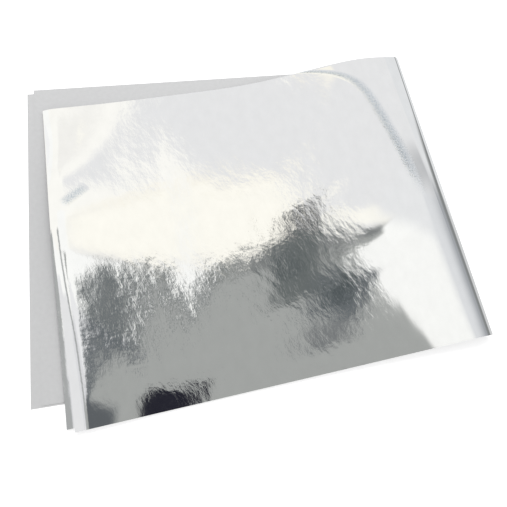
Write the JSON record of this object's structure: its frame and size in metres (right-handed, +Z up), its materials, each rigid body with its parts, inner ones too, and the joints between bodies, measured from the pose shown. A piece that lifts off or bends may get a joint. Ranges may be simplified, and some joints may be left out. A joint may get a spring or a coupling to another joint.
{
  "type": "folded foil-faced paper sheets",
  "caption": "Foil-faced paper sheets nested and folded softly in half, mirror silver outside and matte grey inside, with a loose loop at the far end of the fold.",
  "frame": {"origin": "middle of the underside of the lower half, on the ground that the sheets lie on", "axes": "+X across the sheets towards the fold, +Y along the fold towards its loose far end, +Z up"},
  "size_m": [0.532, 0.4355, 0.0292],
  "materials": {
    "silver_foil": "mirror-bright foil with fine wrinkles",
    "grey_backing": "matte"
  },
  "bodies": {
    "root": {"outer_sheet": "silver_foil", "inner_sheet": "grey_backing"}
  },
  "joints": []
}
